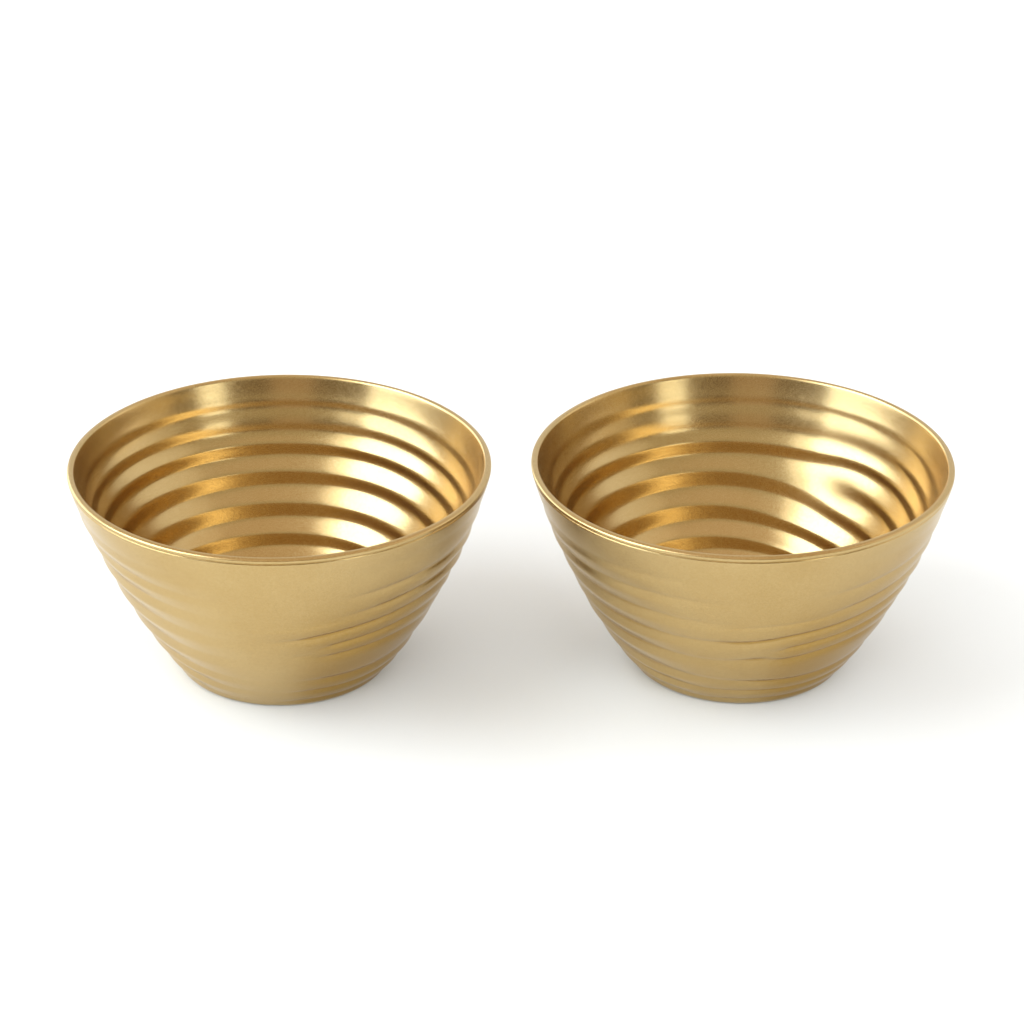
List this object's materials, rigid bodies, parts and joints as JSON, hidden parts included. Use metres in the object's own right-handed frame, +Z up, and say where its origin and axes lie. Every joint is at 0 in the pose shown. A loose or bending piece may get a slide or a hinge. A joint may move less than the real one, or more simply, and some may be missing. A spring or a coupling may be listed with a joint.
{
  "type": "finger cymbals",
  "caption": "Pair of deep cup-shaped finger cymbals in satin brass with ridged flaring walls, rounded lips and a cord hole in each flat crown, standing mouth up.",
  "frame": {"origin": "on the table, midway between the two cymbals", "axes": "+X along the pair from the left cymbal to the right one, +Z up out of the mouths, -Y towards the viewer"},
  "size_m": [0.1256, 0.06, 0.0313],
  "materials": {
    "brass": "satin warm gold brass with a fine grain"
  },
  "bodies": {
    "left_cymbal": {"left_cymbal": "brass"},
    "right_cymbal": {"right_cymbal": "brass"}
  },
  "joints": [
    {"name": "right_cymbal_lift", "type": "slide", "parent": "left_cymbal", "child": "right_cymbal", "axis": [0, 0, 1], "range_m": [0, 0.05]}
  ]
}
